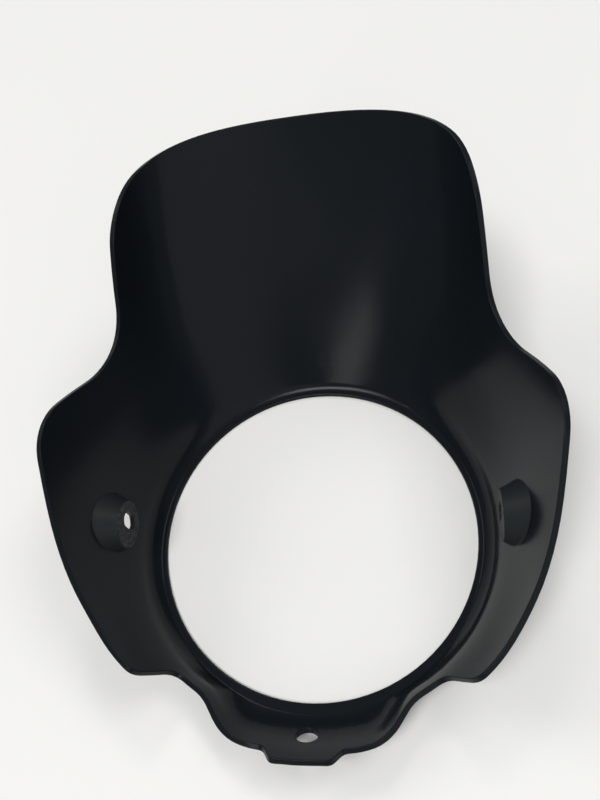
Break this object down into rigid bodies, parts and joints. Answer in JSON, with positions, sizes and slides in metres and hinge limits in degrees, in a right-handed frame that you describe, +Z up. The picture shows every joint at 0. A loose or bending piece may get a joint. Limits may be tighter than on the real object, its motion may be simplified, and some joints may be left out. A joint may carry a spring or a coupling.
{
  "type": "headlight cowl",
  "caption": "Moulded motorbike headlight cowl: a round lamp opening flares back into a raked screen, side wings with hollow bolt bosses, and a bottom lip with a hole.",
  "frame": {"origin": "centre of the lamp opening, in the rear face of its flange", "axes": "+X to the rider's right, +Y forward out of the lamp opening, +Z up, as the cowl sits on the motorbike"},
  "size_m": [0.2242, 0.1132, 0.2835],
  "materials": {
    "cowl_plastic": "moulded gloss"
  },
  "bodies": {
    "root": {"cowl_shell": "cowl_plastic"}
  },
  "joints": []
}
